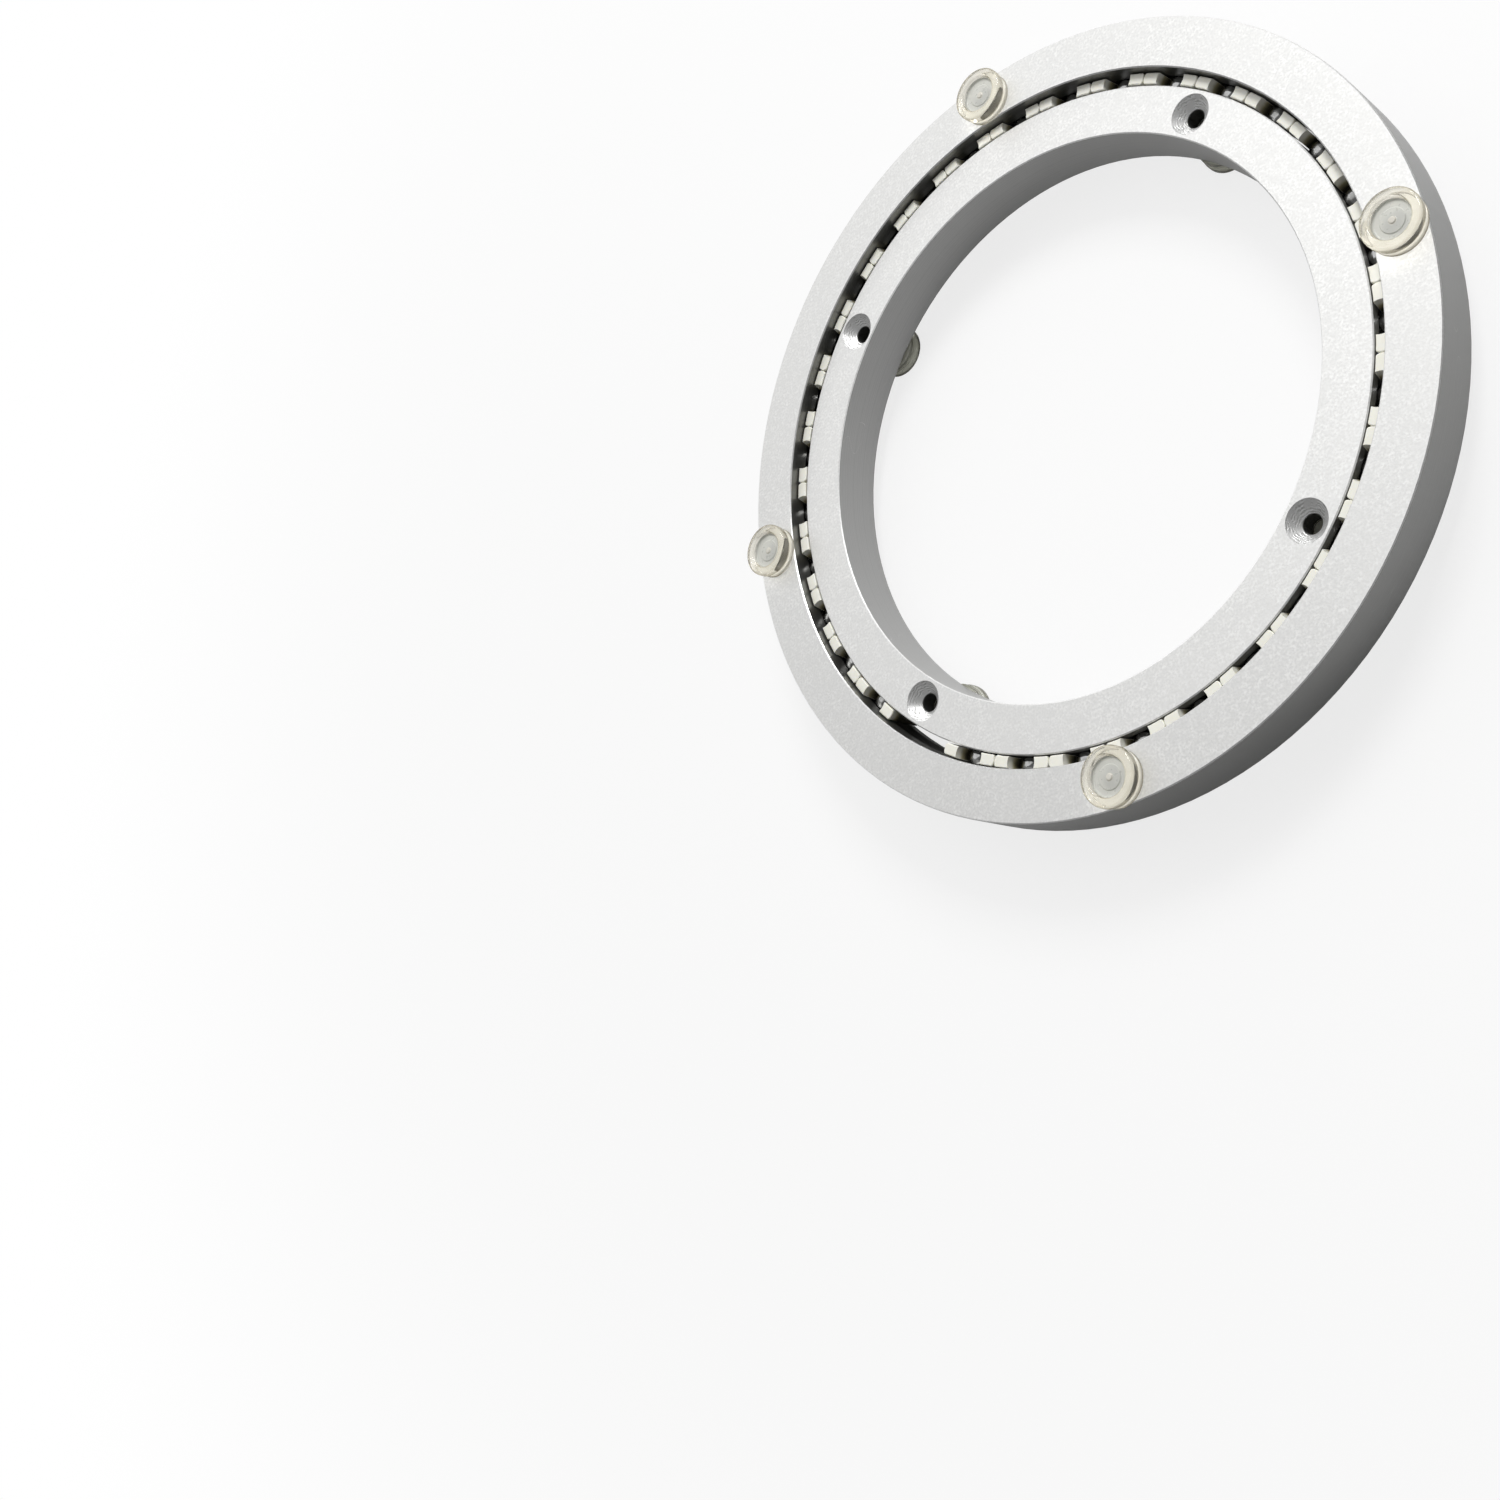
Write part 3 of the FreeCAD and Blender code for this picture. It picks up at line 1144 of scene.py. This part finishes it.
@dataclass
class Studio:
    """White floor, a softbox close by, a wide light from behind, and an even sky.

    Distances are in metres and directions in degrees.
    """

    floor_half: float = 4.0
    box_azimuth: float = 56.0
    box_elevation: float = 44.0
    box_distance: float = 0.75
    box_size: float = 0.26
    box_power: float = 3.2
    back_azimuth: float = 112.0
    back_elevation: float = 45.0
    back_distance: float = 1.0
    back_spread: float = 80.0
    back_strength: float = 1.3
    sky: float = 0.22
    seen_sky: float = 1.0

    def build(self) -> None:
        """Make the floor, the lamps and the sky."""
        self._floor()
        self._softbox()
        self._back_light()
        self._sky()
        LOG.info("studio ready")

    def _floor(self) -> None:
        """Lay the floor in the plane that the bearing stands on."""
        mesh = bmesh.new()
        bmesh.ops.create_grid(mesh, x_segments=1, y_segments=1, size=self.floor_half)
        data = bpy.data.meshes.new("studio_floor")
        mesh.to_mesh(data)
        mesh.free()
        floor = bpy.data.objects.new("studio_floor", data)
        bpy.context.scene.collection.objects.link(floor)
        dress(floor, FloorPaint().material())

    def _softbox(self) -> None:
        """Hang the square lamp close to the bearing."""
        lamp = bpy.data.lights.new("softbox", "AREA")
        lamp.shape = "SQUARE"
        lamp.size = self.box_size
        lamp.energy = self.box_power
        self._hang(lamp, self.box_azimuth, self.box_elevation, self.box_distance)

    def _back_light(self) -> None:
        """Hang the wide soft lamp behind the bearing."""
        lamp = bpy.data.lights.new("back_light", "SUN")
        lamp.energy = self.back_strength
        lamp.angle = math.radians(self.back_spread)
        self._hang(lamp, self.back_azimuth, self.back_elevation, self.back_distance)

    @staticmethod
    def _hang(lamp: bpy.types.Light, azimuth: float, elevation: float, distance: float) -> None:
        """Put a lamp at a direction and a distance from the bearing, turned towards it.

        Args:
            lamp: The lamp.
            azimuth: Its direction in plan, in degrees.
            elevation: Its height above the floor, in degrees.
            distance: Its distance in metres.
        """
        holder = bpy.data.objects.new(lamp.name, lamp)
        turn, rise = math.radians(azimuth), math.radians(elevation)
        towards = Vector((math.cos(turn) * math.cos(rise), math.sin(turn) * math.cos(rise), math.sin(rise)))
        holder.rotation_euler = towards.to_track_quat("Z", "Y").to_euler()
        holder.location = towards * distance
        bpy.context.scene.collection.objects.link(holder)

    def _sky(self) -> None:
        """Light everything evenly, with white where the camera looks past the floor."""
        world = bpy.data.worlds.new("studio_sky")
        bpy.context.scene.world = world
        graph = Graph(world, "ShaderNodeOutputWorld")
        lights = [self._even_light(graph, strength) for strength in (self.sky, self.seen_sky)]
        graph.show(graph.mixed_shaders(graph.seen_straight(), *lights))

    @staticmethod
    def _even_light(graph: Graph, strength: float) -> Socket:
        """Make white light that comes evenly from all round.

        Args:
            graph: The world's tree.
            strength: The light's strength.

        Returns:
            The light.
        """
        node = graph.node("ShaderNodeBackground")
        graph.feed((1.0, 1.0, 1.0, 1.0), node.inputs["Color"])
        graph.feed(strength, node.inputs["Strength"])
        return node.outputs[0]


@dataclass
class PictureCamera:
    """Where the photograph was taken from, in millimetres and degrees, for a square picture."""

    location: tuple[float, float, float] = (128.849, -140.568, 231.078)
    turn: tuple[float, float, float] = (14.972, 40.569, -12.420)
    lens: float = 40.366
    sensor_width: float = 36.0
    shift: tuple[float, float] = (-0.1115, -0.0795)
    nearest: float = 10.0
    farthest: float = 100000.0

    def build(self) -> None:
        """Make the camera and use it."""
        data = bpy.data.cameras.new("picture_camera")
        data.sensor_width = self.sensor_width
        data.lens = self.lens
        data.shift_x, data.shift_y = self.shift
        data.clip_start, data.clip_end = self.nearest * MM, self.farthest * MM
        camera = bpy.data.objects.new("picture_camera", data)
        camera.location = Vector(self.location) * MM
        camera.rotation_euler = [math.radians(angle) for angle in self.turn]
        bpy.context.scene.collection.objects.link(camera)
        bpy.context.scene.camera = camera
        LOG.info("camera ready")


def inner_ring() -> Ring:
    """Describe the lower ring, which stands still. Its walls are paler and duller than the other's.

    Returns:
        The ring.
    """
    # The wall colour here is painted shade too, lighter than the outer ring's, for the lit walls of the
    # bore.
    finish = SatinAluminium(wall=(0.41, 0.41, 0.405), face=(0.82, 0.82, 0.81), wall_metal=0.25)
    return Ring(
        node="inner_ring",
        body=Body.BASE,
        wall_radius=50.0,
        race_radius=58.5,
        bottom=3.2,
        holes=HoleCircle(radius=54.25, first_angle=45.0),
        finish=finish,
    )


def outer_ring() -> Ring:
    """Describe the upper ring, which turns.

    Returns:
        The ring.
    """
    return Ring(
        node="outer_ring",
        body=Body.TURNTABLE,
        wall_radius=70.0,
        race_radius=61.0,
        bottom=5.0,
        holes=HoleCircle(radius=65.5, first_angle=-1.9),
        finish=SatinAluminium(),
    )


def shaded_lower_plastic() -> ClearPlastic:
    """Describe the plastic of the lower feet: less clear than the upper feet's, and painted darker as shade
    under the ring.

    Returns:
        The finish.
    """
    return ClearPlastic(
        # The darker colours here are painted shade under the ring.
        colour=(0.50, 0.50, 0.43),
        haze=(0.42, 0.42, 0.35),
        painted_outline=(0.20, 0.19, 0.15),
        dish_floor_shade=(0.45, 0.45, 0.41),
        clearness=0.50,
        waist_clearness=0.40,
    )


def main() -> None:
    """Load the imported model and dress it."""
    logging.basicConfig(level=logging.INFO, format="%(message)s")
    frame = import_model()
    nodes = frame["nodes"]
    inner, outer = inner_ring(), outer_ring()
    inner.build(nodes)
    outer.build(nodes)
    LinkChain().build(nodes)
    Feet("top_foot_", outer, Facing.UP, ClearPlastic()).build()
    Feet("base_foot_", inner, Facing.DOWN, shaded_lower_plastic()).build()
    Studio().build()
    PictureCamera().build()
    bpy.context.scene.view_settings.view_transform = "Standard"


if __name__ == "__main__":
    main()
